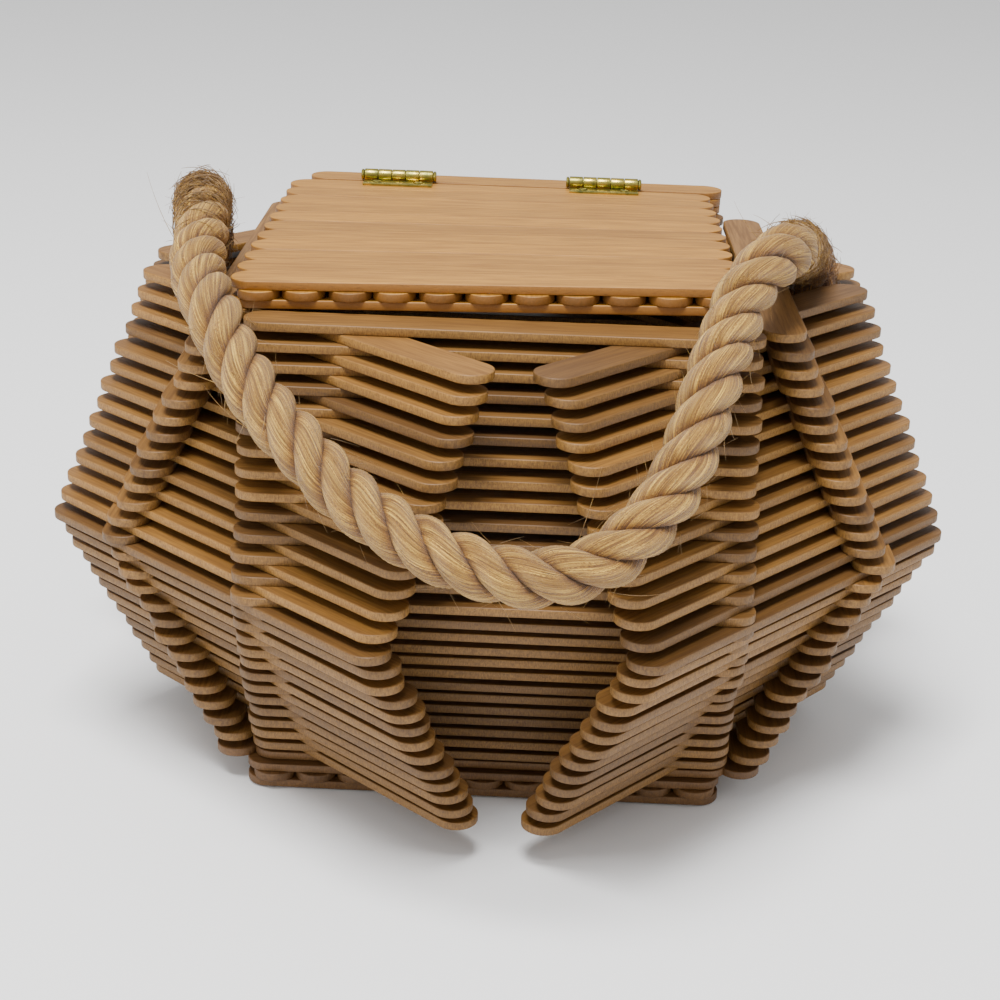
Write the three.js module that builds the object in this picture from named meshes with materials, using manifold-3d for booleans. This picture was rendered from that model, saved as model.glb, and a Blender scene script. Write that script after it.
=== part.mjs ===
// A lidded keepsake basket built from craft sticks: an eight-sided wall that swells
// and closes in again, a crossed floor, a hinged lid of crossed sticks and a rope handle.
// Millimetres, +Z up, the front is -Y, the origin is the middle of the underside.

import * as THREE from 'three';
import { mergeVertices } from 'three/addons/utils/BufferGeometryUtils.js';
import Module from 'manifold-3d';

const wasm = await Module();
wasm.setup();

// One craft stick.
const stickLength = 114;
const stickWidth = 10;
const stickThick = 2.1;
const endFacets = 2;

// The wall: courses counted from the top, each a square ring on a diagonal ring.
// A reach is the distance from the basket's middle to the middle of a stick.
const courses = 26;
const widestCourse = 13;
const frontReach = { top: 59, widest: 83.5, bottom: 52 }; // front and back
const sideReach = { top: 62, widest: 87, bottom: 60.5 };
const diagonalReach = { top: 66, widest: 94.5, bottom: 66.5 };

// The crossed floor and lid.
const slats = 11;
const slatPitch = 10.15;
const gluedWidth = 10.35; // slats glued edge to edge share a little of their width
const lidSlip = -4; // the lid and the floor sit a little to the left of the wall
const floorSlip = -1;
const battenInset = 5.2; // from the lid's front and back edges to its battens
const floorMiddle = -3;
const lidMiddle = 1;
const railGap = 1.8; // between the lid and the rail that carries the hinges

// The two brass hinges.
const hingeSpread = 28.1;
const barrelLength = 18.8;
const barrelRadius = 1.6;
const boreRadius = 1.05;
const pinRadius = 0.75;
const pinHeadRadius = 1.35;
const pinHeadLength = 0.9;
const knuckles = 5;
const knuckleGap = 0.3;
const leafDepth = 6.5;
const leafThick = 0.7;
const leafClearance = 0.3;
const roundFacets = 12;
const barrelLift = 0.1; // the barrel clears the wood by this much

// The rope, and the points it follows from the left pocket over the front to the right one.
const ropeRadius = 6.25;
const tuckRadius = 5; // squeezed where it is tucked into the wall
const ropeGap = 0.3;
const leftTuck = [[-78, 1, 106.5], [-76, 1, 112], [-75, 1, 118], [-75, 0, 124.5]];
const leftBend = [-74.8, -4, 130];
const handleRoute = [
  [-73.5, -13, 132.5], [-72, -24, 131.5], [-69.8, -37, 128.5], [-68.3, -51, 125.4],
  [-62.5, -67, 121.4], [-57, -76, 114.8], [-52, -83, 110], [-46.5, -89, 105],
  [-39.5, -95.5, 100.5], [-32.5, -101, 95], [-25, -106, 91], [-17.5, -110, 88],
  [-8.5, -113.5, 85], [7, -116.5, 82.5], [21.5, -114.5, 85.4], [30.5, -109, 92],
  [35.5, -103.5, 97], [40, -96.5, 105], [44, -86.5, 115], [46.7, -78.5, 120.2],
  [49, -71.6, 124.4], [51.2, -66.2, 128.4], [54.2, -62.3, 131.8], [57.6, -57.6, 133.8],
  [60.9, -50.4, 134.2], [63.5, -40.5, 132.5], [66.5, -27, 129.2], [69.3, -13, 126],
];
const rightBend = [71, -5, 124];
const rightTuck = [[73.5, -1.5, 120.5], [75, 0.5, 116], [76, 1, 112], [78, 1, 106.5]];

// Heights, worked out from the layers of sticks.
const floorLayers = 3;
const lidLayers = 3;
const level = (layer) => layer * stickThick;
const wallBottom = floorLayers;
const wallTop = wallBottom + 2 * courses + 1;
const lidTop = wallTop + lidLayers;

const wood = (color) => new THREE.MeshStandardMaterial({ color, roughness: 0.75, metalness: 0 });
const wallWood = wood(0x9c7446);
const lidWood = wood(0xc39a66);
const floorWood = wood(0x7d5c38);
const brass = new THREE.MeshStandardMaterial({ color: 0xa8974a, roughness: 0.35, metalness: 1 });
const sisal = new THREE.MeshStandardMaterial({ color: 0xc9a668, roughness: 0.9, metalness: 0 });

// Shapes become closed solids with merged corners, so that they can be joined and cut.
function solid(geometry) {
  const bare = geometry.clone();
  bare.deleteAttribute('normal');
  bare.deleteAttribute('uv');
  const merged = mergeVertices(bare, 1e-4);
  return new wasm.Manifold(new wasm.Mesh({
    numProp: 3,
    vertProperties: Float32Array.from(merged.attributes.position.array),
    triVerts: Uint32Array.from(merged.index.array),
  }));
}

const join = (parts) => parts.reduce((whole, part) => whole.add(part));

function mesh(name, shape, material) {
  const { vertProperties, triVerts } = shape.getMesh();
  const geometry = new THREE.BufferGeometry();
  geometry.setAttribute('position', new THREE.BufferAttribute(vertProperties, 3));
  geometry.setIndex(new THREE.BufferAttribute(triVerts, 1));
  geometry.computeVertexNormals();
  const part = new THREE.Mesh(geometry, material);
  part.name = name;
  return part;
}

// A stick with round ends, lying flat: its middle at x, y, its underside on a layer, turned by
// an angle in degrees from the X axis. Inside one solid it may bite into the layer above.
const bite = 0.02;
function stick(x, y, layer, angle = 0, { layers = 1, up = 0, width = stickWidth } = {}) {
  const half = (stickLength - width) / 2;
  const outline = new THREE.Shape();
  outline.absarc(half, 0, width / 2, -Math.PI / 2, Math.PI / 2);
  outline.absarc(-half, 0, width / 2, Math.PI / 2, 1.5 * Math.PI);
  const height = level(layer + layers) - level(layer) + up;
  const settings = { depth: height, bevelEnabled: false, curveSegments: endFacets };
  const shape = new THREE.ExtrudeGeometry(outline, settings);
  shape.rotateZ(THREE.MathUtils.degToRad(angle));
  shape.translate(x, y, level(layer));
  return solid(shape);
}

// How far out a ring sits: straight lines from the top to the widest course to the bottom.
function reach(sizes, course, last) {
  if (course <= widestCourse) {
    return sizes.top + (sizes.widest - sizes.top) * course / widestCourse;
  }
  const share = (course - widestCourse) / (last - widestCourse);
  return sizes.widest + (sizes.bottom - sizes.widest) * share;
}

// Four sticks around the middle, the first one turned by an angle. The first and third have
// one reach, the second and fourth another.
function ring(outs, layer, firstAngle, up = 0) {
  return [0, 90, 180, 270].map((turn, index) => {
    const out = outs[index % 2];
    const angle = firstAngle + turn;
    const away = THREE.MathUtils.degToRad(angle - 90);
    return stick(out * Math.cos(away), out * Math.sin(away), layer, angle, { up });
  });
}

const basket = new THREE.Group();

// The wall's courses.
for (let course = 0; course < courses; course += 1) {
  const topLayer = wallTop - 1 - 2 * course;
  const outs = [reach(frontReach, course, courses), reach(sideReach, course, courses)];
  const corner = reach(diagonalReach, course, courses - 1);
  const square = ring(outs, topLayer, 0);
  const diagonal = ring([corner, corner], topLayer - 1, 45, bite);
  const name = `wall_course_${String(course + 1).padStart(2, '0')}`;
  basket.add(mesh(name, join([...square, ...diagonal]), wallWood));
}

// Slats side by side, running along X or Y.
function row(layer, alongX, x, y, options) {
  return Array.from({ length: slats }, (unused, index) => {
    const aside = (index - (slats - 1) / 2) * slatPitch;
    return alongX ? stick(x, y + aside, layer, 0, options) : stick(x + aside, y, layer, 90, options);
  });
}

// The floor: slats along X underneath, then a deck of slats glued edge to edge along Y and along
// X, which carries the wall's last ring.
row(0, true, floorSlip, floorMiddle).forEach((slat, index) => {
  basket.add(mesh(`floor_slat_${String(index + 1).padStart(2, '0')}`, slat, floorWood));
});
const deck = [
  ...row(1, false, floorSlip, floorMiddle, { up: bite, width: gluedWidth }),
  ...row(2, true, floorSlip, floorMiddle, { up: bite, width: gluedWidth }),
  ...ring([frontReach.bottom, sideReach.bottom], wallBottom, 0),
];
basket.add(mesh('floor_deck', join(deck), floorWood));

// The lid: slats along X on a frame of slats along Y, glued edge to edge, and two battens.
const lidDepth = (slats - 1) * slatPitch + stickWidth;
const lidFront = lidMiddle - lidDepth / 2;
const lidBack = lidMiddle + lidDepth / 2;
row(lidTop - 1, true, lidSlip, lidMiddle).forEach((slat, index) => {
  basket.add(mesh(`lid_slat_${String(index + 1).padStart(2, '0')}`, slat, lidWood));
});
const battens = [lidFront + battenInset, lidBack - battenInset];
const frame = [
  ...row(lidTop - 2, false, lidSlip, lidMiddle, { width: gluedWidth }),
  ...battens.map((y) => stick(lidSlip, y, lidTop - 3, 0, { up: bite })),
];
basket.add(mesh('lid_frame', join(frame), lidWood));

// The rail behind the lid: three sticks on top of each other on the back wall.
const railMiddle = lidBack + railGap + stickWidth / 2;
basket.add(mesh('rear_rail', stick(0, railMiddle, wallTop, 0, { layers: lidLayers }), lidWood));

// A hinge lies on the rail and the lid, with its barrel above the seam.
const hingeY = (lidBack + railMiddle - stickWidth / 2) / 2;
const hingeZ = level(lidTop) + barrelLift + barrelRadius;

// A round bar or tube along X, from its profile of [x, radius] pairs.
function turned(profile, x) {
  const points = profile.map(([along, radius]) => new THREE.Vector2(radius, along));
  const shape = new THREE.LatheGeometry(points, roundFacets);
  shape.rotateZ(-Math.PI / 2);
  shape.translate(x, hingeY, hingeZ);
  return solid(shape);
}

function block(x0, x1, y0, y1, z0, z1) {
  const shape = new THREE.BoxGeometry(x1 - x0, y1 - y0, z1 - z0);
  shape.translate((x0 + x1) / 2, (y0 + y1) / 2, (z0 + z1) / 2);
  return solid(shape);
}

// One leaf with the knuckles that belong to it; side is +1 towards the back and -1 towards the front.
function leaf(middle, side, first) {
  const pitch = barrelLength / knuckles;
  const inner = barrelRadius + leafClearance;
  const bottom = level(lidTop);
  const ys = [hingeY + side * inner, hingeY + side * leafDepth].sort((a, b) => a - b);
  const left = middle - barrelLength / 2;
  const plate = block(left, left + barrelLength, ys[0], ys[1], bottom, bottom + leafThick);
  const parts = [plate];
  for (let index = first; index < knuckles; index += 2) {
    const x0 = left + index * pitch + knuckleGap / 2;
    const x1 = x0 + pitch - knuckleGap;
    const tabs = [hingeY + side * boreRadius * 1.1, hingeY + side * (inner + 1)].sort((a, b) => a - b);
    const tab = block(x0, x1, tabs[0], tabs[1], bottom + barrelLift, bottom + leafThick);
    const half = (x1 - x0) / 2;
    const knuckle = turned([
      [-half, boreRadius], [-half, barrelRadius], [half, barrelRadius], [half, boreRadius],
      [-half, boreRadius],
    ], (x0 + x1) / 2);
    const bore = turned([[-half - 1, 0], [-half - 1, boreRadius], [half + 1, boreRadius], [half + 1, 0]],
      (x0 + x1) / 2);
    parts.push(tab.subtract(bore), knuckle);
  }
  return join(parts);
}

function pin(middle) {
  const end = barrelLength / 2;
  return turned([
    [-end - pinHeadLength, 0], [-end - pinHeadLength, pinHeadRadius * 0.6],
    [-end - pinHeadLength / 2, pinHeadRadius], [-end, pinHeadRadius], [-end, pinRadius],
    [end, pinRadius], [end, pinHeadRadius], [end + pinHeadLength / 2, pinHeadRadius],
    [end + pinHeadLength, pinHeadRadius * 0.6], [end + pinHeadLength, 0],
  ], middle);
}

for (const [side, name] of [[-1, 'left'], [1, 'right']]) {
  const middle = lidSlip + side * hingeSpread;
  basket.add(mesh(`hinge_leaf_fixed_${name}`, leaf(middle, 1, 0), brass));
  basket.add(mesh(`hinge_leaf_lid_${name}`, leaf(middle, -1, 1), brass));
  basket.add(mesh(`hinge_pin_${name}`, pin(middle), brass));
}

// The rope. Each end is tucked into the wall and stands up to its bend, which is a ball, and the
// handle hangs over the front between the two bends.
const vector = (point) => new THREE.Vector3(...point);
const ropeFacets = 5;

function tube(points, radius, steps) {
  const section = new THREE.Shape();
  section.absarc(0, 0, radius, 0, 2 * Math.PI);
  const path = new THREE.CatmullRomCurve3(points);
  const settings = { extrudePath: path, steps, bevelEnabled: false, curveSegments: ropeFacets };
  return solid(new THREE.ExtrudeGeometry(section, settings));
}

function tucked(name, points, bend) {
  const ball = new THREE.SphereGeometry(ropeRadius, 12, 8);
  ball.translate(...bend);
  const low = tube(points.slice(0, 3).map(vector), tuckRadius, 3);
  const high = tube([points[2], points[3], bend].map(vector), ropeRadius - 0.4, 4);
  return mesh(name, join([low, high, solid(ball)]), sisal);
}

basket.add(tucked('rope_end_left', leftTuck, leftBend));
basket.add(tucked('rope_end_right', rightTuck.toReversed(), rightBend));

// The handle starts and stops clear of the two balls.
function clearOf(bend, next) {
  const away = vector(next).sub(vector(bend)).normalize();
  return vector(bend).addScaledVector(away, ropeRadius + ropeGap);
}

const handlePoints = [
  clearOf(leftBend, handleRoute[0]),
  ...handleRoute.slice(1, -1).map(vector),
  clearOf(rightBend, handleRoute.at(-1)),
];
basket.add(mesh('rope_handle', tube(handlePoints, ropeRadius, 40), sisal));

export default basket;
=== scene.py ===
import math
import random

import bmesh
import bpy
import numpy as np
from mathutils import Matrix, Vector


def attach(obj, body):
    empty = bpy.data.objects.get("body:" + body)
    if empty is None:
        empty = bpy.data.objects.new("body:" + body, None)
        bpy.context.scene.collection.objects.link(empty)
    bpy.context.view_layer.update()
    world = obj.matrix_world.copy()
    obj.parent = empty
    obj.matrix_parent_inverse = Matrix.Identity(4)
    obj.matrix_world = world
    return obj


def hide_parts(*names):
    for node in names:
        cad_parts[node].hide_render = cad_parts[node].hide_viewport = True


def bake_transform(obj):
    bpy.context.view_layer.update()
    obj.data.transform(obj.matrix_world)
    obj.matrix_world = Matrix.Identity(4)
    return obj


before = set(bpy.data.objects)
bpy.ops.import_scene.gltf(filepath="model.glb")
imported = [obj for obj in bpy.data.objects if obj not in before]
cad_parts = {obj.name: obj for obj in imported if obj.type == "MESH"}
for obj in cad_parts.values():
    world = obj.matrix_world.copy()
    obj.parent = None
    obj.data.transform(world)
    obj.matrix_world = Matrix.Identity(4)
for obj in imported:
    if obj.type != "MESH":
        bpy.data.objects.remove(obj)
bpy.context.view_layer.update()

# The viewpoint: about half a metre in front of the basket and a little above it, on a lens of
# 70 mm, looking down at the lid. The camera leans a little to one side.
lens = 67.83
eye = Vector((0.00727, -0.45601, 0.23106))
looks_down, turns_left, leans = 21.25, 0.945, 2.05
camera_data = bpy.data.cameras.new("viewpoint")
camera_data.lens = lens
camera_data.sensor_width = 36.0
camera_data.clip_start = 0.01
camera = bpy.data.objects.new("viewpoint", camera_data)
bpy.context.scene.collection.objects.link(camera)
facing = (
    Matrix.Rotation(math.radians(turns_left), 4, "Z")
    @ Matrix.Rotation(math.radians(90 - looks_down), 4, "X")
    @ Matrix.Rotation(math.radians(leans), 4, "Z")
)
camera.matrix_world = Matrix.Translation(eye) @ facing
bpy.context.scene.camera = camera

# The handle: half-inch sisal rope of three strands, laid right-handed. Both ends are pushed down
# into pockets in the side walls, and the rope falls forward over the front of the basket.
rope_diameter = 0.0125
lay_length = 0.027  # one full turn of a strand
yarn_twist = 0.0155  # one full turn of the yarns, back against the strand
ring_step = 0.0007
matted_at, matted_over = 0.026, 0.014  # where the bends are matted with loose fibres
left_pocket = [(-78, 1, 106.5), (-76, 1, 112), (-75, 1, 118), (-75, 0, 124.5), (-74.8, -4, 130)]
over_front = [
    (-73.5, -13, 132.5), (-72, -24, 131.5), (-69.8, -37, 128.5), (-68.3, -51, 125.4),
    (-62.5, -67, 121.4), (-57, -76, 114.8), (-52, -83, 110), (-46.5, -89, 105),
    (-39.5, -95.5, 100.5), (-32.5, -101, 95), (-25, -106, 91), (-17.5, -110, 88),
    (-8.5, -113.5, 85), (7, -116.5, 82.5), (21.5, -114.5, 85.4), (30.5, -109, 92),
    (35.5, -103.5, 97), (40, -96.5, 105), (44, -86.5, 115), (46.7, -78.5, 120.2),
    (49, -71.6, 124.4), (51.2, -66.2, 128.4), (54.2, -62.3, 131.8), (57.6, -57.6, 133.8),
    (60.9, -50.4, 134.2), (63.5, -40.5, 132.5), (66.5, -27, 129.2), (69.3, -13, 126),
]
right_pocket = [(71, -5, 124), (73.5, -1.5, 120.5), (75, 0.5, 116), (76, 1, 112), (78, 1, 106.5)]


def smooth_line(points, step):
    """A rope's middle line through the points, with an even step."""
    points = np.array(points, float) / 1000
    fine = []
    for i in range(len(points) - 1):
        a = points[max(i - 1, 0)]
        b, c = points[i], points[i + 1]
        d = points[min(i + 2, len(points) - 1)]
        for t in np.linspace(0, 1, 24, endpoint=False):
            fine.append(0.5 * (2 * b + (c - a) * t + (2 * a - 5 * b + 4 * c - d) * t * t
                               + (3 * b - a - 3 * c + d) * t ** 3))
    fine.append(points[-1])
    fine = np.array(fine)
    for _ in range(60):  # a rope has no sharp corners
        fine[1:-1] = (fine[:-2] + 2 * fine[1:-1] + fine[2:]) / 4
    along = np.concatenate([[0], np.cumsum(np.linalg.norm(np.diff(fine, axis=0), axis=1))])
    count = int(along[-1] / step) + 1
    even = np.linspace(0, along[-1], count)
    return np.stack([np.interp(even, along, fine[:, k]) for k in range(3)], axis=1), even


def frames_along(line):
    """The line's direction, and two directions across it that don't twist."""
    ahead = np.gradient(line, axis=0)
    ahead /= np.linalg.norm(ahead, axis=1)[:, None]
    side = np.zeros_like(line)
    across = np.cross(ahead[0], (0, 0, 1.0) if abs(ahead[0][2]) < 0.8 else (1.0, 0, 0))
    for i, t in enumerate(ahead):
        across = across - t * across.dot(t)
        across /= np.linalg.norm(across)
        side[i] = across
    return ahead, side, np.cross(ahead, side)


def mesh_piece(name, vertices, faces, **attributes):
    """A new object from bare points and faces, with numbers or vectors kept on its points."""
    mesh = bpy.data.meshes.new(name)
    mesh.from_pydata([tuple(v) for v in vertices], [], [tuple(int(i) for i in f) for f in faces])
    for key, values in attributes.items():
        values = np.asarray(values, float)
        kind, field = ("FLOAT_VECTOR", "vector") if values.ndim == 2 else ("FLOAT", "value")
        mesh.attributes.new(key, kind, "POINT").data.foreach_set(field, values.ravel())
    mesh.update()
    piece = bpy.data.objects.new(name, mesh)
    bpy.context.scene.collection.objects.link(piece)
    return piece


def tube_faces(rings, sides, first=0):
    """The faces of a closed tube whose rings of points follow each other."""
    ring, side = np.meshgrid(np.arange(rings - 1), np.arange(sides), indexing="ij")
    a = first + ring * sides + side
    b = first + ring * sides + (side + 1) % sides
    faces = np.stack([a, b, b + sides, a + sides], axis=-1).reshape(-1, 4).tolist()
    faces.append([first + i for i in reversed(range(sides))])
    faces.append([first + (rings - 1) * sides + i for i in range(sides)])
    return faces


rope_line, rope_along = smooth_line(left_pocket + over_front + right_pocket, ring_step)
rope_length = float(rope_along[-1])
ahead, side, up = frames_along(rope_line)
strand_radius = rope_diameter / 2 / (1 + 2 / math.sqrt(3)) * 1.04
strand_offset = rope_diameter / 2 - strand_radius
squeeze = 1 - 0.16 * np.exp(-(rope_along / 0.012) ** 2) \
    - 0.16 * np.exp(-((rope_length - rope_along) / 0.012) ** 2)
vertices, faces, fibre, crest, old = [], [], [], [], []
sides = 30
chance = random.Random(7)
matted = sum(np.exp(-((rope_along - place) / matted_over) ** 2)
             for place in (matted_at, rope_length - matted_at))
for strand in range(3):
    turn = 2 * math.pi * (rope_along / lay_length + strand / 3)
    slack = 1 + 0.05 * np.sin(rope_along * 170 + strand * 2.1)
    out = np.cos(turn)[:, None] * side + np.sin(turn)[:, None] * up
    middle = rope_line + out * (strand_offset * squeeze * slack * (1 - 0.22 * matted))[:, None]
    run = np.gradient(middle, axis=0)
    run /= np.linalg.norm(run, axis=1)[:, None]
    out = out - run * np.sum(out * run, axis=1)[:, None]
    out /= np.linalg.norm(out, axis=1)[:, None]
    over = np.cross(run, out)
    phases = [(n, chance.uniform(0, 6.3), chance.uniform(0.4, 1)) for n in (5, 7, 11, 13)]
    first = len(vertices)
    for i in range(len(rope_line)):
        back_twist = 2 * math.pi * rope_along[i] / yarn_twist
        for k in range(sides):
            angle = 2 * math.pi * k / sides
            yarn = angle + back_twist
            ridge = sum(w * math.cos(n * yarn + p) for n, p, w in phases) / 4
            ridge += 0.6 * math.cos(6 * yarn + 2 * math.sin(rope_along[i] * 260 + strand))
            radius = strand_radius * squeeze[i] * (1 + 0.035 * ridge + 0.18 * matted[i])
            point = middle[i] + radius * (math.cos(angle) * out[i] + math.sin(angle) * over[i])
            vertices.append(point)
            fibre.append((strand_radius * math.cos(yarn) + 0.02 * strand,
                          strand_radius * math.sin(yarn), rope_along[i]))
            # Painted shade: how far each point stands out from the rope's middle, so that the
            # grooves between the strands can be coloured darker.
            away = np.linalg.norm(point - rope_line[i]) / (rope_diameter / 2)
            crest.append(min(max((away - 0.45) / 0.55, 0), 1))
            from_end = min(rope_along[i], rope_length - rope_along[i])
            old.append(min(max(1 - (from_end - 0.026) / 0.024, 0), 1))
    faces += tube_faces(len(rope_line), sides, first)
rope = mesh_piece("rope_strands", vertices, faces, fibre=fibre, crest=crest, old=old)
for polygon in rope.data.polygons:
    polygon.use_smooth = True

# Stray fibres stand out of the strands, and where the rope was cut and pushed into its pockets
# they have come loose and curl round it. Each is one hair of sisal.
hairs, hair_faces, hair_fibre, hair_crest, hair_old = [], [], [], [], []


def add_hair(root, direction, bend, length, thick, age_and_painted_shade):
    """One hair: a thin three-sided thread that curves as it goes."""
    direction = Vector(direction).normalized()
    bend = Vector(bend)
    point = Vector(root)
    first = len(hairs)
    rings = 7
    for i in range(rings):
        across = direction.cross(Vector((0.3, 0.2, 1))).normalized()
        other = direction.cross(across).normalized()
        width = thick * (1 - 0.75 * i / (rings - 1))
        for k in range(3):
            turn = 2 * math.pi * k / 3
            hairs.append(point + (across * math.cos(turn) + other * math.sin(turn)) * width)
            hair_fibre.append((point.x, point.y + k * 0.0004, i * 0.002))
            hair_crest.append(0.85)
            hair_old.append(age_and_painted_shade)
        direction = (direction + bend * (length / rings)).normalized()
        point = point + direction * (length / rings)
    hair_faces.extend(tube_faces(rings, 3, first))


for number in range(3700):
    near_end = number >= 420
    if near_end:
        from_end = abs(chance.gauss(0.029, 0.011)) + 0.003
        place = from_end if number % 2 else rope_length - from_end
        age_and_painted_shade = min(max(1.3 - from_end / 0.04, 0.2), 1)
    else:
        place = chance.uniform(0.035, rope_length - 0.03)
        age_and_painted_shade = 0
    i = min(int(place / rope_length * (len(rope_line) - 1)), len(rope_line) - 1)
    turn = chance.uniform(0, 2 * math.pi)
    out = Vector(math.cos(turn) * side[i] + math.sin(turn) * up[i])
    around = Vector(-math.sin(turn) * side[i] + math.cos(turn) * up[i])
    forward = Vector(ahead[i]) * chance.choice((-1, 1))
    root = Vector(rope_line[i]) + out * rope_diameter * (0.44 + 0.07 * chance.random())
    if near_end:
        direction = around * chance.choice((-1, 1)) + forward * chance.uniform(0, 1.2) + out * 0.25
        bend = -out * chance.uniform(120, 230) + forward * chance.uniform(-40, 40)
        add_hair(root, direction, bend, chance.uniform(0.005, 0.012), 0.00017, age_and_painted_shade)
    else:
        long_one = number % 24 == 0
        direction = forward + out * chance.uniform(0.15, 0.8) + around * chance.uniform(-0.5, 0.5)
        length = chance.uniform(0.012, 0.021) if long_one else chance.uniform(0.003, 0.008)
        bend = out * chance.uniform(-40, 50) + around * chance.uniform(-60, 60)
        if long_one:
            bend *= 0.9
            direction += out * 0.4
        add_hair(root, direction, bend, length, 0.0001 if long_one else 0.00007, age_and_painted_shade)
loose = mesh_piece("rope_loose_fibres", hairs, hair_faces, fibre=hair_fibre, crest=hair_crest,
                   old=hair_old)


def new_material(name):
    """An empty node material with its shader already linked."""
    material = bpy.data.materials.new(name)
    material.use_nodes = True
    tree = material.node_tree
    tree.nodes.clear()
    output = tree.nodes.new("ShaderNodeOutputMaterial")
    shader = tree.nodes.new("ShaderNodeBsdfPrincipled")
    tree.links.new(shader.outputs["BSDF"], output.inputs["Surface"])
    return material, tree, shader


def add_node(tree, kind, **settings):
    """A node, with its properties and its unlinked inputs set by name or number."""
    node = tree.nodes.new(kind)
    for key, value in settings.items():
        if key.startswith("in_"):
            name = key[3:].replace("_", " ")
            node.inputs[int(name) if name.isdigit() else name].default_value = value
        else:
            setattr(node, key, value)
    return node


def noise(tree, vector, scale, detail=4, rough=0.55):
    node = add_node(tree, "ShaderNodeTexNoise", in_Scale=scale, in_Detail=detail,
                    in_Roughness=rough)
    tree.links.new(vector, node.inputs["Vector"])
    return node.outputs["Fac"]


def ramp(tree, value, *stops):
    """Colour stops as (place, colour), blended evenly."""
    node = tree.nodes.new("ShaderNodeValToRGB")
    while len(node.color_ramp.elements) < len(stops):
        node.color_ramp.elements.new(0.5)
    for element, (place, color) in zip(node.color_ramp.elements, stops):
        element.position = place
        element.color = (*color, 1) if isinstance(color, tuple) else (color, color, color, 1)
    tree.links.new(value, node.inputs["Fac"])
    return node.outputs["Color"]


def mix(tree, factor, a, b, blend="MIX"):
    node = add_node(tree, "ShaderNodeMix", data_type="RGBA", blend_type=blend)
    for socket, value in ((node.inputs[0], factor), (node.inputs[6], a), (node.inputs[7], b)):
        if isinstance(value, (int, float)):
            socket.default_value = value
        elif isinstance(value, tuple):
            socket.default_value = (*value, 1)
        else:
            tree.links.new(value, socket)
    return node.outputs[2]


def math_node(tree, operation, a, b=None, clamp=False):
    node = add_node(tree, "ShaderNodeMath", operation=operation, use_clamp=clamp)
    for socket, value in zip(node.inputs, (a, b)):
        if isinstance(value, (int, float)):
            socket.default_value = value
        elif value is not None:
            tree.links.new(value, socket)
    return node.outputs[0]


def stretched(tree, vector, x, y, z):
    """The coordinates scaled apart, so that a texture runs along one of them."""
    node = add_node(tree, "ShaderNodeMapping", vector_type="POINT", in_Scale=(x, y, z))
    tree.links.new(vector, node.inputs["Vector"])
    return node.outputs["Vector"]


def attribute(tree, name, output="Vector"):
    return add_node(tree, "ShaderNodeAttribute", attribute_name=name).outputs[output]


sisal, tree, shader = new_material("sisal")
threads = stretched(tree, attribute(tree, "fibre"), 1, 1, 0.05)
fine = noise(tree, threads, 3600, 3, 0.7)
broad = noise(tree, threads, 900, 3, 0.6)
straw = ramp(tree, fine, (0.38, (0.14, 0.054, 0.005)), (0.5, (0.38, 0.185, 0.016)),
             (0.63, (0.86, 0.53, 0.09)))
straw = mix(tree, ramp(tree, broad, (0.42, 0.0), (0.66, 0.8)), straw, (0.22, 0.10, 0.009))
# Painted shade: the grooves between the strands are coloured darker, where shade falls.
painted_groove_shade = ramp(tree, attribute(tree, "crest", "Fac"), (0.28, (0.14, 0.06, 0.015)),
              (0.62, (0.66, 0.54, 0.38)), (0.85, (1.0, 1.0, 1.0)))
straw = mix(tree, 1.0, straw, painted_groove_shade, "MULTIPLY")
aged = mix(tree, 1.0, straw, (0.72, 0.56, 0.42), "MULTIPLY")
straw = mix(tree, attribute(tree, "old", "Fac"), straw, aged)
tree.links.new(straw, shader.inputs["Base Color"])
tree.links.new(math_node(tree, "MULTIPLY_ADD", fine, 0.3), shader.inputs["Roughness"])
shader.inputs["Roughness"].links[0].from_node.inputs[2].default_value = 0.34
shader.inputs["Sheen Weight"].default_value = 0.15
bump = add_node(tree, "ShaderNodeBump", in_Strength=1.0, in_Distance=0.0008)
tree.links.new(fine, bump.inputs["Height"])
tree.links.new(bump.outputs["Normal"], shader.inputs["Normal"])
for piece in (rope, loose):
    piece.data.materials.append(sisal)
    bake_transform(piece)
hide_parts("rope_end_left", "rope_end_right", "rope_handle")

# One craft stick of birch: 114 mm long, punched out of veneer with round ends, its edges only
# slightly broken. Every wall, floor and lid stick is a copy of it.
stick_length, stick_width, stick_thick = 0.114, 0.010, 0.0021
end_rounding, edge_wear = stick_width * 0.488, 0.00022
bpy.ops.object.select_all(action="DESELECT")
bpy.ops.mesh.primitive_cube_add(size=1, location=(0, 0, 0),
                                scale=(stick_length, stick_width, stick_thick))
one_stick = bpy.context.object
one_stick.name = "one_stick"
bpy.ops.object.transform_apply(location=False, rotation=False, scale=True)


def edit_select(obj, edge_test):
    """Selects the edges that pass the test, in edit mode."""
    bpy.ops.object.mode_set(mode="EDIT")
    bpy.ops.mesh.select_mode(type="EDGE")
    bpy.ops.mesh.select_all(action="DESELECT")
    shape = bmesh.from_edit_mesh(obj.data)
    for edge in shape.edges:
        edge.select_set(edge_test(*(v.co for v in edge.verts)))
    bmesh.update_edit_mesh(obj.data)


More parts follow.
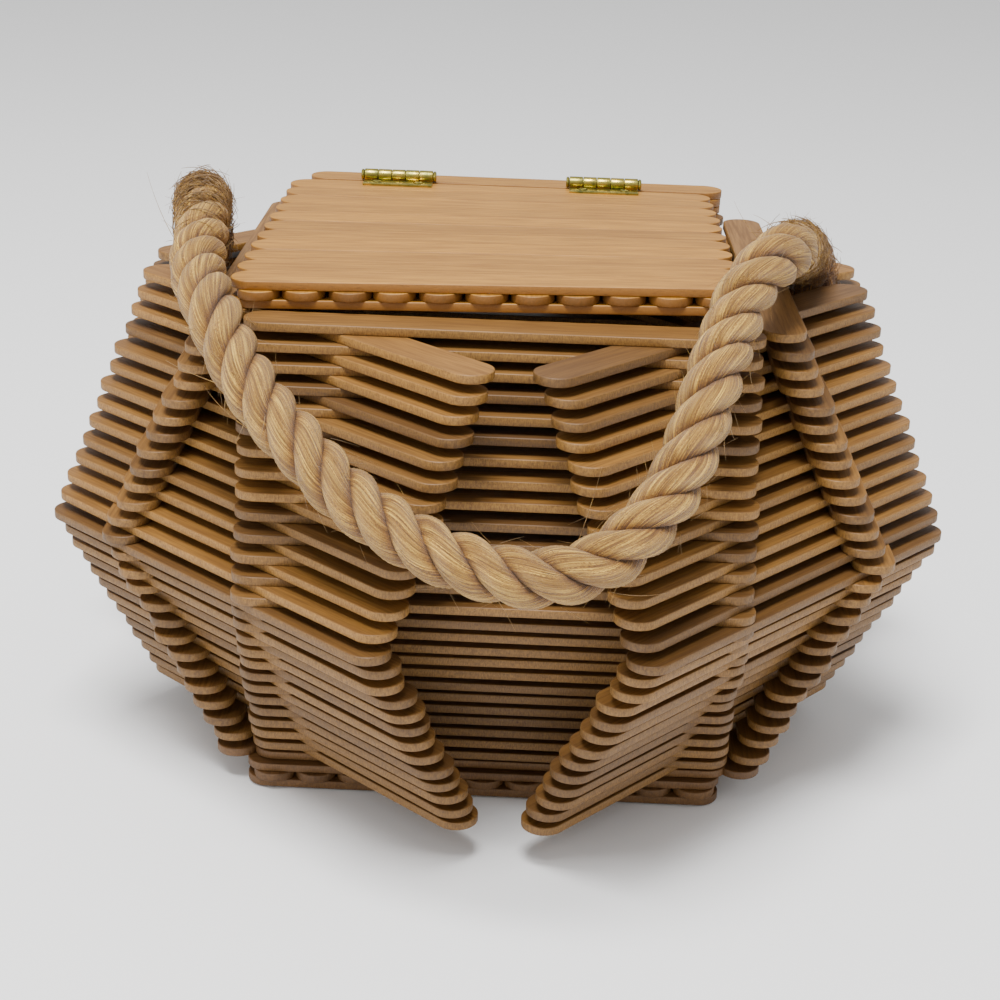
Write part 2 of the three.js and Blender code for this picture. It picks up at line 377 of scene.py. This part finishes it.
edit_select(one_stick, lambda a, b: abs(a.z - b.z) > stick_thick / 2)
bpy.ops.mesh.bevel(offset=end_rounding, segments=8, affect="EDGES")
edit_select(one_stick, lambda a, b: abs(a.z - b.z) < 1e-6
            and abs(abs(a.z) - stick_thick / 2) < 1e-6)
bpy.ops.mesh.bevel(offset=edge_wear, segments=2, affect="EDGES")
for cut in np.linspace(-0.045, 0.045, 7):
    bpy.ops.mesh.select_all(action="SELECT")
    bpy.ops.mesh.bisect(plane_co=(cut, 0, 0), plane_no=(1, 0, 0))
bpy.ops.object.mode_set(mode="OBJECT")
stick_points = np.array([v.co for v in one_stick.data.vertices])
one_stick.data.attributes.new("grain", "FLOAT_VECTOR", "POINT").data.foreach_set(
    "vector", stick_points.ravel())
one_stick.data.attributes.new("tone_and_painted_shade", "FLOAT", "POINT")
for polygon in one_stick.data.polygons:
    polygon.use_smooth = abs(polygon.normal.z) < 0.9999

hand = random.Random(42)  # the maker's hand: no two sticks lie quite alike


def lay_stick(x, y, z, angle, width=stick_width, loose_by=1.0, slide=0.0, age_and_painted_shade=0.0):
    """One more stick, its middle at x, y and its underside at z, turned from the X axis.

    It slides along its own length, and the darkening argument colours it darker: on the lower wall
    courses this is painted shade.
    """
    mesh = one_stick.data.copy()
    points = stick_points.copy()
    share = points[:, 0] / (stick_length / 2)
    points[:, 0] *= 1 + hand.uniform(-0.004, 0.004) * loose_by
    points[:, 1] *= width / stick_width * (1 + hand.uniform(-0.012, 0.004) * loose_by)
    points[:, 1] += hand.uniform(-0.00035, 0.00035) * loose_by * (1 - share ** 2)
    points[:, 2] *= 1 + hand.uniform(-0.035, 0.0)
    points[:, 2] += hand.uniform(-0.00012, 0.00006) * loose_by * share ** 2
    turn = math.radians(angle + hand.uniform(-0.35, 0.35) * loose_by)
    x += hand.uniform(-0.0005, 0.0005) * loose_by
    y += hand.uniform(-0.0005, 0.0005) * loose_by
    placed = np.empty_like(points)
    points[:, 0] += slide
    placed[:, 0] = x + points[:, 0] * math.cos(turn) - points[:, 1] * math.sin(turn)
    placed[:, 1] = y + points[:, 0] * math.sin(turn) + points[:, 1] * math.cos(turn)
    placed[:, 2] = z + stick_thick / 2 + points[:, 2]
    mesh.vertices.foreach_set("co", placed.ravel())
    # Each stick's tone differs at random, and the darkening factor paints shade on the lower wall
    # courses.
    shade = (0.5 + (hand.random() - 0.5) * (0.25 + 0.75 * loose_by)) * (1 - 0.72 * age_and_painted_shade)
    mesh.attributes["tone_and_painted_shade"].data.foreach_set("value", np.full(len(points), shade))
    copy = bpy.data.objects.new("stick", mesh)
    bpy.context.scene.collection.objects.link(copy)
    return copy


def glue(name, sticks, material, node, body="box"):
    """Sticks glued into one piece, which stands for its CAD node."""
    bpy.ops.object.select_all(action="DESELECT")
    for stick in sticks:
        stick.select_set(True)
    bpy.context.view_layer.objects.active = sticks[0]
    if len(sticks) > 1:
        bpy.ops.object.join()
    piece = bpy.context.view_layer.objects.active
    piece.name = piece.data.name = name
    piece.data.materials.clear()
    piece.data.materials.append(material)
    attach(piece, body)
    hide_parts(node)
    return piece


# Birch, stained honey brown. The flat faces show long soft grain with a few pin knots, the long
# edges short dashes across them, and the punched round ends are greyer.
birch_group = bpy.data.node_groups.new("birch_figure", "ShaderNodeTree")
for name, way, kind in (("Light", "INPUT", "Color"), ("Dark", "INPUT", "Color"),
                        ("Edge", "INPUT", "Color"), ("Color", "OUTPUT", "Color"),
                        ("Roughness", "OUTPUT", "Float"), ("Height", "OUTPUT", "Float")):
    birch_group.interface.new_socket(name, in_out=way, socket_type="NodeSocket" + kind)
tree = birch_group
given = tree.nodes.new("NodeGroupInput")
result = tree.nodes.new("NodeGroupOutput")
light_wood, dark_wood, edge_wood = (given.outputs[name] for name in ("Light", "Dark", "Edge"))
local = attribute(tree, "grain")
tone_and_painted_shade = attribute(tree, "tone_and_painted_shade", "Fac")
shift = add_node(tree, "ShaderNodeVectorMath", operation="SCALE")
one = add_node(tree, "ShaderNodeCombineXYZ", in_X=1.7, in_Y=0.83, in_Z=0.31)
tree.links.new(one.outputs[0], shift.inputs[0])
tree.links.new(tone_and_painted_shade, shift.inputs["Scale"])
moved = add_node(tree, "ShaderNodeVectorMath", operation="ADD")
tree.links.new(local, moved.inputs[0])
tree.links.new(shift.outputs[0], moved.inputs[1])
moved = moved.outputs[0]
long_grain = noise(tree, stretched(tree, moved, 0.05, 1, 0.6), 1400, 5, 0.6)
figure = noise(tree, stretched(tree, moved, 0.16, 1, 0.6), 190, 3, 0.5)
pores = noise(tree, stretched(tree, moved, 0.12, 1, 1), 5200, 2, 0.6)
dashes = noise(tree, stretched(tree, moved, 1, 0.4, 0.3), 3600, 4, 0.75)
parts = tree.nodes.new("ShaderNodeSeparateXYZ")
tree.links.new(local, parts.inputs[0])
height = math_node(tree, "ABSOLUTE", parts.outputs[2])
below_face = math_node(tree, "SUBTRACT", stick_thick / 2 - 0.00006, height)
on_edge = math_node(tree, "MULTIPLY", below_face, 9000, True)
reach_out = math_node(tree, "ABSOLUTE", parts.outputs[0])
past_side = math_node(tree, "SUBTRACT", reach_out, stick_length / 2 - 0.0045)
at_end = math_node(tree, "MULTIPLY", past_side, 500, True)
face = mix(tree, ramp(tree, long_grain, (0.40, 0.0), (0.64, 0.85)), light_wood, dark_wood)
face = mix(tree, ramp(tree, figure, (0.42, 0.0), (0.72, 0.55)), face, dark_wood)
face = mix(tree, ramp(tree, pores, (0.62, 0.0), (0.8, 0.45)), face, (0.07, 0.028, 0.008))
cut = mix(tree, ramp(tree, dashes, (0.36, 0.15), (0.62, 1.0)), dark_wood, edge_wood)
cut = mix(tree, ramp(tree, pores, (0.55, 0.0), (0.75, 0.5)), cut, (0.05, 0.02, 0.006))
ends = mix(tree, 1.0, cut, (0.86, 0.86, 0.88), "MULTIPLY")
cut = mix(tree, at_end, cut, ends)
wood = mix(tree, on_edge, face, cut)
# The per-stick tone scales the colour: random tone, and painted shade on the lower wall courses.
each = ramp(tree, tone_and_painted_shade, (0.0, (0.48, 0.45, 0.40)), (0.35, (0.86, 0.85, 0.84)),
            (0.7, (1.0, 1.0, 1.0)), (1.0, (1.16, 1.15, 1.10)))
wood = mix(tree, 1.0, wood, each, "MULTIPLY")
tree.links.new(wood, result.inputs["Color"])
tree.links.new(math_node(tree, "MULTIPLY_ADD", long_grain, 0.25), result.inputs["Roughness"])
result.inputs["Roughness"].links[0].from_node.inputs[2].default_value = 0.42
relief = math_node(tree, "ADD", math_node(tree, "MULTIPLY", long_grain, 0.5),
                   math_node(tree, "MULTIPLY", dashes, on_edge))
tree.links.new(relief, result.inputs["Height"])


def birch(name, light, dark, edge):
    """Birch in the given tones: the face's two and the cut edge's."""
    material, tree, shader = new_material(name)
    group = add_node(tree, "ShaderNodeGroup", node_tree=birch_group)
    for key, color in (("Light", light), ("Dark", dark), ("Edge", edge)):
        group.inputs[key].default_value = (*color, 1)
    bump = add_node(tree, "ShaderNodeBump", in_Strength=0.35, in_Distance=0.0003)
    tree.links.new(group.outputs["Height"], bump.inputs["Height"])
    tree.links.new(group.outputs["Color"], shader.inputs["Base Color"])
    tree.links.new(group.outputs["Roughness"], shader.inputs["Roughness"])
    tree.links.new(bump.outputs["Normal"], shader.inputs["Normal"])
    return material


wall_birch = birch("wall_birch", (0.235, 0.11, 0.021), (0.125, 0.052, 0.008), (0.34, 0.172, 0.035))

# The wall: courses from the top down, each a square ring of four sticks glued on a ring of four
# set cornerwise. The rings grow to the widest course and shrink again to the floor.
courses, widest = 26, 13
floor_layers, lid_layers = 3, 3
wall_top = floor_layers + 2 * courses + 1
front_reach = (0.059, 0.0835, 0.052)
side_reach = (0.062, 0.087, 0.0605)
corner_reach = (0.066, 0.0945, 0.0665)
corner_turn = 2.9  # the maker set the cornerwise rings a little askew


def reach(sizes, course, last):
    """How far out a course lies, from its sizes at the top, the widest course and the last."""
    if course <= widest:
        return sizes[0] + (sizes[1] - sizes[0]) * course / widest
    return sizes[1] + (sizes[2] - sizes[1]) * (course - widest) / (last - widest)


def lay_ring(outs, layer, first_angle, slides=(0, 0, 0, 0), age_and_painted_shade=0.0):
    """Four sticks round the basket, at the two distances in turn."""
    sticks = []
    for turn in (0, 90, 180, 270):
        out = outs[turn // 90 % 2]
        angle = first_angle + turn
        away = math.radians(angle - 90)
        sticks.append(lay_stick(out * math.cos(away), out * math.sin(away), layer * stick_thick,
                                angle, slide=slides[turn // 90], age_and_painted_shade=age_and_painted_shade))
    return sticks


for course in range(courses):
    layer = wall_top - 1 - 2 * course
    age_and_painted_shade = min(max((course - 10) / 10, 0), 1)  # painted shade: the lower courses are coloured darker, for the shade that falls low on the wall
    outs = (reach(front_reach, course, courses), reach(side_reach, course, courses))
    corner = reach(corner_reach, course, courses - 1)
    sticks = lay_ring(outs, layer, 0, age_and_painted_shade=age_and_painted_shade)
    sticks += lay_ring((corner, corner), layer - 1, 45 + corner_turn, (-0.0021, 0, 0, 0), age_and_painted_shade)
    glue(f"course_{course + 1:02d}_sticks", sticks, wall_birch, f"wall_course_{course + 1:02d}")

# The floor: sticks side by side along X, a layer across them, and a third that carries the
# wall's last ring.
slats, pitch = 11, 0.01015
floor_birch = birch("floor_birch", (0.16, 0.072, 0.018), (0.09, 0.038, 0.009),
                    (0.20, 0.095, 0.025))
floor_slip, floor_middle = -0.001, -0.003


def lay_row(layer, along_x, x, y, width=0.0101, loose_by=0.5):
    """Eleven sticks side by side, their middle at x, y."""
    sticks = []
    for index in range(slats):
        aside = (index - (slats - 1) / 2) * pitch
        at_x, at_y, angle = (x, y + aside, 0) if along_x else (x + aside, y, 90)
        sticks.append(lay_stick(at_x, at_y, layer * stick_thick, angle, width, loose_by))
    return sticks


for index, stick in enumerate(lay_row(0, True, floor_slip, floor_middle)):
    glue(f"floor_stick_{index + 1:02d}", [stick], floor_birch, f"floor_slat_{index + 1:02d}")
deck = lay_row(1, False, floor_slip, floor_middle) + lay_row(2, True, floor_slip, floor_middle)
deck += lay_ring((front_reach[2], side_reach[2]), floor_layers, 0)
glue("floor_deck_sticks", deck, floor_birch, "floor_deck")

# The lid: eleven sticks side by side along X, glued on eleven across, with two battens under
# them at the front and the back. It is the palest part.
lid_birch = birch("lid_birch", (0.435, 0.20, 0.021), (0.24, 0.10, 0.010), (0.30, 0.118, 0.013))
lid_slip, lid_middle = -0.004, 0.001
lid_top = wall_top + lid_layers
lid_depth = (slats - 1) * pitch + stick_width
lid_lift = 0.0028  # the lid has warped: its front right corner stands off the wall


def warp(stick):
    """Lifts the stick's points towards the lid's front right corner."""
    points = np.array([v.co for v in stick.data.vertices])
    rightness = np.clip((points[:, 0] - lid_slip) / stick_length + 0.5, 0, 1)
    frontness = np.clip((lid_middle - points[:, 1]) / lid_depth + 0.5, 0, 1)
    points[:, 2] += lid_lift * rightness * frontness
    stick.data.vertices.foreach_set("co", points.ravel())


for index, stick in enumerate(lay_row(lid_top - 1, True, lid_slip, lid_middle, 0.01006, 0.35)):
    warp(stick)
    glue(f"lid_stick_{index + 1:02d}", [stick], lid_birch, f"lid_slat_{index + 1:02d}", "lid")
under = lay_row(lid_top - 2, False, lid_slip, lid_middle, 0.0097)
for y in (lid_middle - lid_depth / 2 + 0.0052, lid_middle + lid_depth / 2 - 0.0052):
    under.append(lay_stick(lid_slip, y, (lid_top - 3) * stick_thick, 0, loose_by=0.3))
for stick in under:
    warp(stick)
glue("lid_frame_sticks", under, lid_birch, "lid_frame", "lid")

# The rail behind the lid: three sticks stacked on the back wall. It carries the hinges.
rail_gap = 0.0018
rail_y = lid_middle + lid_depth / 2 + rail_gap + stick_width / 2
rail = [lay_stick(0, rail_y, (wall_top + i) * stick_thick, 0, loose_by=0.3) for i in range(3)]
glue("rear_rail_sticks", rail, lid_birch, "rear_rail")
bpy.data.objects.remove(one_stick)

# The two small butt hinges: brass leaves lie on the lid and on the rail, and their knuckles are
# rolled round a pin over the seam. The brass has gone dull and green where it isn't rubbed.
hinge_y = (lid_middle + lid_depth / 2 + rail_y - stick_width / 2) / 2
barrel_radius, barrel_length, knuckles = 0.0016, 0.0188, 5
pin_radius, pin_head_radius, pin_head_length = 0.0008, 0.0015, 0.0009
hinge_spread = 0.0281  # each hinge's middle from the lid's
hinge_z = lid_top * stick_thick + 0.0001 + barrel_radius
leaf_depth, leaf_thick = 0.0065, 0.0007

brass, tree, shader = new_material("hinge_brass")
place = add_node(tree, "ShaderNodeTexCoord").outputs["Object"]
cloud = noise(tree, place, 420, 4, 0.6)
speck = noise(tree, place, 2600, 3, 0.7)
metal = ramp(tree, cloud, (0.35, (0.55, 0.40, 0.08)), (0.52, (0.32, 0.27, 0.06)),
             (0.72, (0.11, 0.12, 0.035)))
metal = mix(tree, ramp(tree, speck, (0.55, 0.0), (0.8, 0.6)), metal, (0.20, 0.21, 0.10))
tree.links.new(metal, shader.inputs["Base Color"])
shader.inputs["Metallic"].default_value = 1.0
tree.links.new(ramp(tree, cloud, (0.3, 0.2), (0.75, 0.48)), shader.inputs["Roughness"])
bump = add_node(tree, "ShaderNodeBump", in_Strength=0.25, in_Distance=0.0001)
tree.links.new(speck, bump.inputs["Height"])
tree.links.new(bump.outputs["Normal"], shader.inputs["Normal"])


def bevelled(obj, width, segments):
    """Rounds every sharp edge of the object with an applied modifier."""
    bevel = obj.modifiers.new("bevel", "BEVEL")
    bevel.width, bevel.segments, bevel.limit_method = width, segments, "ANGLE"
    bpy.context.view_layer.objects.active = obj
    bpy.ops.object.modifier_apply(modifier=bevel.name)


def rolled(x, length, radius, chamfer):
    """A bar of round brass along X at the hinge line."""
    bpy.ops.object.select_all(action="DESELECT")
    bpy.ops.mesh.primitive_cylinder_add(vertices=28, radius=radius, depth=length,
                                        location=(x, hinge_y, hinge_z),
                                        rotation=(0, math.pi / 2, 0))
    bar = bpy.context.object
    bpy.ops.object.transform_apply(location=True, rotation=True, scale=True)
    bevelled(bar, chamfer, 2)
    return bar


def make_leaf(name, node, middle, side, first, body):
    """A leaf with its knuckles, lying to the given side of the hinge line."""
    bottom = lid_top * stick_thick
    near, far = barrel_radius * 0.35, leaf_depth
    plate_start = barrel_radius + 0.0003
    tab_end = barrel_radius + 0.0008
    bpy.ops.object.select_all(action="DESELECT")
    bpy.ops.mesh.primitive_cube_add(
        size=1, location=(middle, hinge_y + side * (plate_start + far) / 2, bottom + leaf_thick / 2),
        scale=(barrel_length, far - plate_start, leaf_thick))
    plate = bpy.context.object
    bpy.ops.object.transform_apply(location=True, rotation=True, scale=True)
    bevelled(plate, 0.00016, 2)
    parts = [plate]
    step = barrel_length / knuckles
    for index in range(first, knuckles, 2):
        x = middle - barrel_length / 2 + (index + 0.5) * step
        parts.append(rolled(x, step - 0.00012, barrel_radius, 0.00014))
        bpy.ops.object.select_all(action="DESELECT")
        bpy.ops.mesh.primitive_cube_add(
            size=1,
            location=(x, hinge_y + side * (near + tab_end) / 2, bottom + leaf_thick / 2 + 0.00005),
            scale=(step - 0.0003, tab_end - near, leaf_thick - 0.0001))
        parts.append(bpy.context.object)
        bpy.ops.object.transform_apply(location=True, rotation=True, scale=True)
    for x in (middle - barrel_length * 0.3, middle + barrel_length * 0.3):  # flat pin heads
        bpy.ops.object.select_all(action="DESELECT")
        bpy.ops.mesh.primitive_cylinder_add(
            vertices=20, radius=0.0011, depth=0.0005,
            location=(x, hinge_y + side * 0.0044, bottom + leaf_thick + 0.0001))
        head = bpy.context.object
        bpy.ops.object.transform_apply(location=True, rotation=True, scale=True)
        bevelled(head, 0.0002, 2)
        parts.append(head)
    finish_brass(name, node, parts, body)


def finish_brass(name, node, parts, body):
    """Brass parts joined into one piece, which stands for its CAD node."""
    bpy.ops.object.select_all(action="DESELECT")
    for part in parts:
        part.select_set(True)
    bpy.context.view_layer.objects.active = parts[0]
    if len(parts) > 1:
        bpy.ops.object.join()
    piece = bpy.context.view_layer.objects.active
    piece.name = piece.data.name = name
    piece.data.materials.clear()
    piece.data.materials.append(brass)
    bpy.ops.object.shade_smooth_by_angle(angle=math.radians(35))
    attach(piece, body)
    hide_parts(node)


for side_name, sign in (("left", -1), ("right", 1)):
    middle = lid_slip + sign * hinge_spread
    make_leaf(f"brass_leaf_rail_{side_name}", f"hinge_leaf_fixed_{side_name}", middle, 1, 0, "box")
    make_leaf(f"brass_leaf_lid_{side_name}", f"hinge_leaf_lid_{side_name}", middle, -1, 1, "lid")
    heads = [rolled(middle + end * (barrel_length / 2 + pin_head_length / 2), pin_head_length,
                    pin_head_radius, 0.0006) for end in (-1, 1)]
    heads.append(rolled(middle, barrel_length - 0.0002, pin_radius, 0.0001))
    finish_brass(f"brass_pin_{side_name}", f"hinge_pin_{side_name}", heads, "box")

# The room: a plain white floor, a large soft light above and in front of the basket, a weaker
# one to its left, and a pale sky.
bpy.ops.object.select_all(action="DESELECT")
bpy.ops.mesh.primitive_plane_add(size=12, location=(0, 0, -0.0004))
floor = bpy.context.object
floor.name = "floor"
paper, tree, shader = new_material("pale_floor")
shader.inputs["Base Color"].default_value = (0.93, 0.93, 0.93, 1)
shader.inputs["Roughness"].default_value = 0.8
floor.data.materials.append(paper)


def soft_light(name, place, aim, size, power):
    data = bpy.data.lights.new(name, "AREA")
    data.size = size
    data.energy = power
    light = bpy.data.objects.new(name, data)
    bpy.context.scene.collection.objects.link(light)
    light.location = place
    light.rotation_euler = (Vector(aim) - Vector(place)).to_track_quat("-Z", "Y").to_euler()


soft_light("above", (-0.14, -0.40, 1.25), (0, -0.02, 0.08), 0.5, 30)
soft_light("fill", (-0.9, -0.9, 0.5), (0, 0, 0.06), 0.8, 3)
world = bpy.data.worlds.new("pale_sky")
bpy.context.scene.world = world
world.use_nodes = True
world.node_tree.nodes["Background"].inputs["Color"].default_value = (1.0, 1.0, 1.0, 1)
world.node_tree.nodes["Background"].inputs["Strength"].default_value = 0.8
